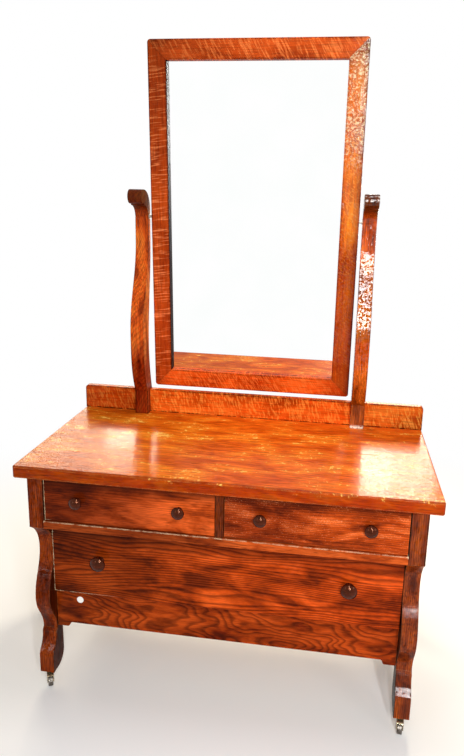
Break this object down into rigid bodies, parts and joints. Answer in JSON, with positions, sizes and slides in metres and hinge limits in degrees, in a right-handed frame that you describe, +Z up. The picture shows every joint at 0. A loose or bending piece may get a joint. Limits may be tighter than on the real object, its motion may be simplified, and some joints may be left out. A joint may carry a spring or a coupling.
{
  "type": "dresser with mirror",
  "caption": "Low oak dresser with drawers that slide out, sawn scroll legs on swivel casters, and a tall framed mirror that tilts between two standards.",
  "frame": {"origin": "on the floor, at the middle of the part's base outline", "axes": "+Z up, -Y the side the drawers open to, +X to the right of someone who faces the drawers"},
  "size_m": [1.067, 0.5514, 1.7639],
  "materials": {
    "top_board": "glossy quarter-sawn oak, golden oak stain, worn",
    "backsplash": "glossy quarter-sawn oak",
    "standards": "glossy oak",
    "mirror_frame": "glossy quarter-sawn oak with ray flecks",
    "case_wood": "glossy oak",
    "drawer_front": "glossy flat-sawn oak",
    "apron": "glossy flat-sawn oak",
    "drawer_box": "unfinished",
    "inner_wood": "unfinished",
    "thin_board": "unfinished thin board",
    "mirror_glass": "silvered plate glass",
    "knob_lacquer": "dark brown lacquer",
    "steel": "plain",
    "caster_metal": "aged",
    "caster_wheel": "worn bright at the tread"
  },
  "bodies": {
    "case": {"top_board": "top_board", "backsplash": "backsplash", "mirror_post_left": "standards", "mirror_post_right": "standards", "front_leg_left": "case_wood", "front_leg_right": "case_wood", "rear_leg_left": "case_wood", "rear_leg_right": "case_wood", "side_top_rail_left": "case_wood", "side_top_rail_right": "case_wood", "side_bottom_rail_left": "case_wood", "side_bottom_rail_right": "case_wood", "side_panel_left": "case_wood", "side_panel_right": "case_wood", "middle_rail": "case_wood", "apron": "apron", "post_screws": "steel", "top_front_rail": "inner_wood", "bottom_front_rail": "inner_wood", "rear_rails": "inner_wood", "drawer_divider": "case_wood", "small_drawer_runners": "inner_wood", "long_drawer_runners": "inner_wood", "back_panel": "thin_board", "caster_sockets": "caster_metal", "pivot_rods": "steel"},
    "mirror": {"mirror_stile_left": "mirror_frame", "mirror_stile_right": "mirror_frame", "mirror_rail_top": "mirror_frame", "mirror_rail_bottom": "mirror_frame", "mirror_glass": "mirror_glass", "mirror_backboard": "thin_board", "backboard_screws": "steel", "pivot_bushes": "steel"},
    "left_drawer": {"left_drawer_front": "drawer_front", "left_drawer_sides": "drawer_box", "left_drawer_back": "drawer_box", "left_drawer_bottom": "drawer_box", "left_drawer_knobs": "knob_lacquer", "left_drawer_knob_screws": "steel"},
    "right_drawer": {"right_drawer_front": "drawer_front", "right_drawer_sides": "drawer_box", "right_drawer_back": "drawer_box", "right_drawer_bottom": "drawer_box", "right_drawer_knobs": "knob_lacquer", "right_drawer_knob_screws": "steel"},
    "long_drawer": {"long_drawer_front": "drawer_front", "long_drawer_sides": "drawer_box", "long_drawer_back": "drawer_box", "long_drawer_bottom": "drawer_box", "long_drawer_knobs": "knob_lacquer", "long_drawer_knob_screws": "steel"},
    "caster_front_left": {"caster_horn_front_left": "caster_metal"},
    "wheel_front_left": {"caster_wheel_front_left": "caster_wheel"},
    "caster_front_right": {"caster_horn_front_right": "caster_metal"},
    "wheel_front_right": {"caster_wheel_front_right": "caster_wheel"},
    "caster_rear_left": {"caster_horn_rear_left": "caster_metal"},
    "wheel_rear_left": {"caster_wheel_rear_left": "caster_wheel"},
    "caster_rear_right": {"caster_horn_rear_right": "caster_metal"},
    "wheel_rear_right": {"caster_wheel_rear_right": "caster_wheel"}
  },
  "joints": [
    {"name": "mirror_tilt", "type": "hinge", "parent": "case", "child": "mirror", "pos_m": [0, 0.23377, 1.278], "axis": [1, 0, 0], "range_deg": [-25, 15]},
    {"name": "left_drawer_slide", "type": "slide", "parent": "case", "child": "left_drawer", "axis": [0, -1, 0], "range_m": [0, 0.32]},
    {"name": "right_drawer_slide", "type": "slide", "parent": "case", "child": "right_drawer", "axis": [0, -1, 0], "range_m": [0, 0.32]},
    {"name": "long_drawer_slide", "type": "slide", "parent": "case", "child": "long_drawer", "axis": [0, -1, 0], "range_m": [0, 0.29]},
    {"name": "swivel_front_left", "type": "hinge", "parent": "case", "child": "caster_front_left", "pos_m": [-0.482, -0.22323, 0.04], "axis": [0, 0, 1], "continuous": true},
    {"name": "spin_front_left", "type": "hinge", "parent": "caster_front_left", "child": "wheel_front_left", "pos_m": [-0.47355, -0.23913, 0.015], "axis": [0.8829, 0.4695, 0], "continuous": true},
    {"name": "swivel_front_right", "type": "hinge", "parent": "case", "child": "caster_front_right", "pos_m": [0.482, -0.22323, 0.04], "axis": [0, 0, 1], "continuous": true},
    {"name": "spin_front_right", "type": "hinge", "parent": "caster_front_right", "child": "wheel_front_right", "pos_m": [0.47981, -0.2411, 0.015], "axis": [0.9925, -0.1219, 0], "continuous": true},
    {"name": "swivel_rear_left", "type": "hinge", "parent": "case", "child": "caster_rear_left", "pos_m": [-0.482, 0.22227, 0.04], "axis": [0, 0, 1], "continuous": true},
    {"name": "spin_rear_left", "type": "hinge", "parent": "caster_rear_left", "child": "wheel_rear_left", "pos_m": [-0.47614, 0.20525, 0.015], "axis": [0.9455, 0.3256, 0], "continuous": true},
    {"name": "swivel_rear_right", "type": "hinge", "parent": "case", "child": "caster_rear_right", "pos_m": [0.482, 0.22227, 0.04], "axis": [0, 0, 1], "continuous": true},
    {"name": "spin_rear_right", "type": "hinge", "parent": "caster_rear_right", "child": "wheel_rear_right", "pos_m": [0.47526, 0.20558, 0.015], "axis": [0.9272, -0.3746, 0], "continuous": true}
  ]
}
